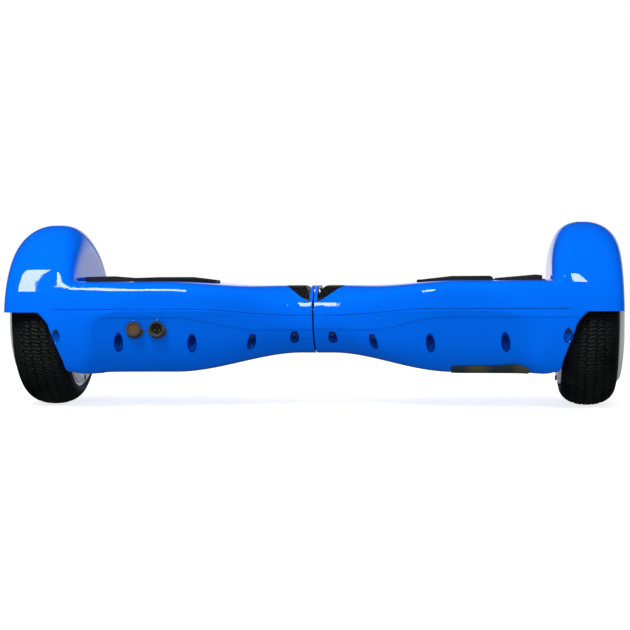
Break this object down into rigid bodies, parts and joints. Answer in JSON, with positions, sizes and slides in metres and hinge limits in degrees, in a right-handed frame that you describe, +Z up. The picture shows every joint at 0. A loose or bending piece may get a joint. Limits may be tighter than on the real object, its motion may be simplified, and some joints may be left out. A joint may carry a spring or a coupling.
{
  "type": "self balancing board",
  "caption": "Two-wheeled self balancing board: twisting halves on a pivot tube, hub-motor wheels under domed fenders, ribbed foot pads.",
  "frame": {"origin": "on the ground, under the middle of the board", "axes": "+Z up, +X along the axles and the pivot tube, the charging side faces -Y"},
  "size_m": [0.5916, 0.189, 0.1779],
  "materials": {
    "blue_gloss": "gloss",
    "black_rubber": "matt",
    "tyre": "matt",
    "cast_alloy": "satin",
    "steel": "satin",
    "bright_steel": "polished",
    "copper": "satin",
    "magnet": "satin",
    "grey_plastic": "satin",
    "circuit_board": "satin",
    "clear_lens": "gloss",
    "black_gloss": "gloss",
    "bronze": "satin",
    "battery_sleeve": "satin",
    "button_metal": "satin",
    "rating_foil": "satin"
  },
  "bodies": {
    "left_half": {"left_upper_shell": "blue_gloss", "left_lower_shell": "blue_gloss", "left_frame": "cast_alloy", "left_axle": "steel", "left_stator_core": "steel", "left_stator_windings": "copper", "left_axle_clamp": "cast_alloy", "left_axle_clamp_bolts": "steel", "left_gyro_board": "circuit_board", "left_headlight_lens": "clear_lens", "left_headlight_board": "circuit_board", "left_indicator_window": "black_gloss", "left_shell_screws": "steel", "left_motor_cable": "black_rubber", "pivot_tube": "steel", "pivot_circlip": "steel", "main_board": "circuit_board", "charging_socket": "bright_steel", "charging_pins": "bronze", "power_button_housing": "bright_steel", "centre_harness": "black_rubber"},
    "right_half": {"right_upper_shell": "blue_gloss", "right_lower_shell": "blue_gloss", "right_frame": "cast_alloy", "right_axle": "steel", "right_stator_core": "steel", "right_stator_windings": "copper", "right_axle_clamp": "cast_alloy", "right_axle_clamp_bolts": "steel", "right_gyro_board": "circuit_board", "right_headlight_lens": "clear_lens", "right_headlight_board": "circuit_board", "right_indicator_window": "black_gloss", "right_shell_screws": "steel", "right_motor_cable": "black_rubber", "pivot_bushes": "bronze", "pivot_stop_pin": "steel", "battery_pack": "battery_sleeve", "battery_bracket": "steel", "battery_lead": "black_rubber", "blank_rating_plate": "rating_foil"},
    "left_wheel": {"left_wheel_rim": "cast_alloy", "left_rotor_magnets": "magnet", "left_tyre": "tyre", "left_motor_cover": "cast_alloy", "left_motor_cover_screws": "steel", "left_hub_cap": "grey_plastic", "left_wheel_bearings": "steel"},
    "left_pad": {"left_foot_pad": "black_rubber", "left_sensor_plungers": "black_rubber"},
    "right_wheel": {"right_wheel_rim": "cast_alloy", "right_rotor_magnets": "magnet", "right_tyre": "tyre", "right_motor_cover": "cast_alloy", "right_motor_cover_screws": "steel", "right_hub_cap": "grey_plastic", "right_wheel_bearings": "steel"},
    "right_pad": {"right_foot_pad": "black_rubber", "right_sensor_plungers": "black_rubber"},
    "button": {"power_button": "button_metal"}
  },
  "joints": [
    {"name": "twist", "type": "hinge", "parent": "left_half", "child": "right_half", "pos_m": [0, 0, 0.085], "axis": [1, 0, 0], "range_deg": [-12, 12]},
    {"name": "left_wheel_spin", "type": "hinge", "parent": "left_half", "child": "left_wheel", "pos_m": [-0.2623, 0, 0.085], "axis": [1, 0, 0], "continuous": true},
    {"name": "left_pad_press", "type": "slide", "parent": "left_half", "child": "left_pad", "axis": [0, 0, 1], "range_m": [-0.0015, 0]},
    {"name": "right_wheel_spin", "type": "hinge", "parent": "right_half", "child": "right_wheel", "pos_m": [0.2623, 0, 0.085], "axis": [1, 0, 0], "continuous": true},
    {"name": "right_pad_press", "type": "slide", "parent": "right_half", "child": "right_pad", "axis": [0, 0, 1], "range_m": [-0.0015, 0]},
    {"name": "power_button_press", "type": "slide", "parent": "left_half", "child": "button", "axis": [0, 1, 0], "range_m": [0, 0.0015]}
  ]
}
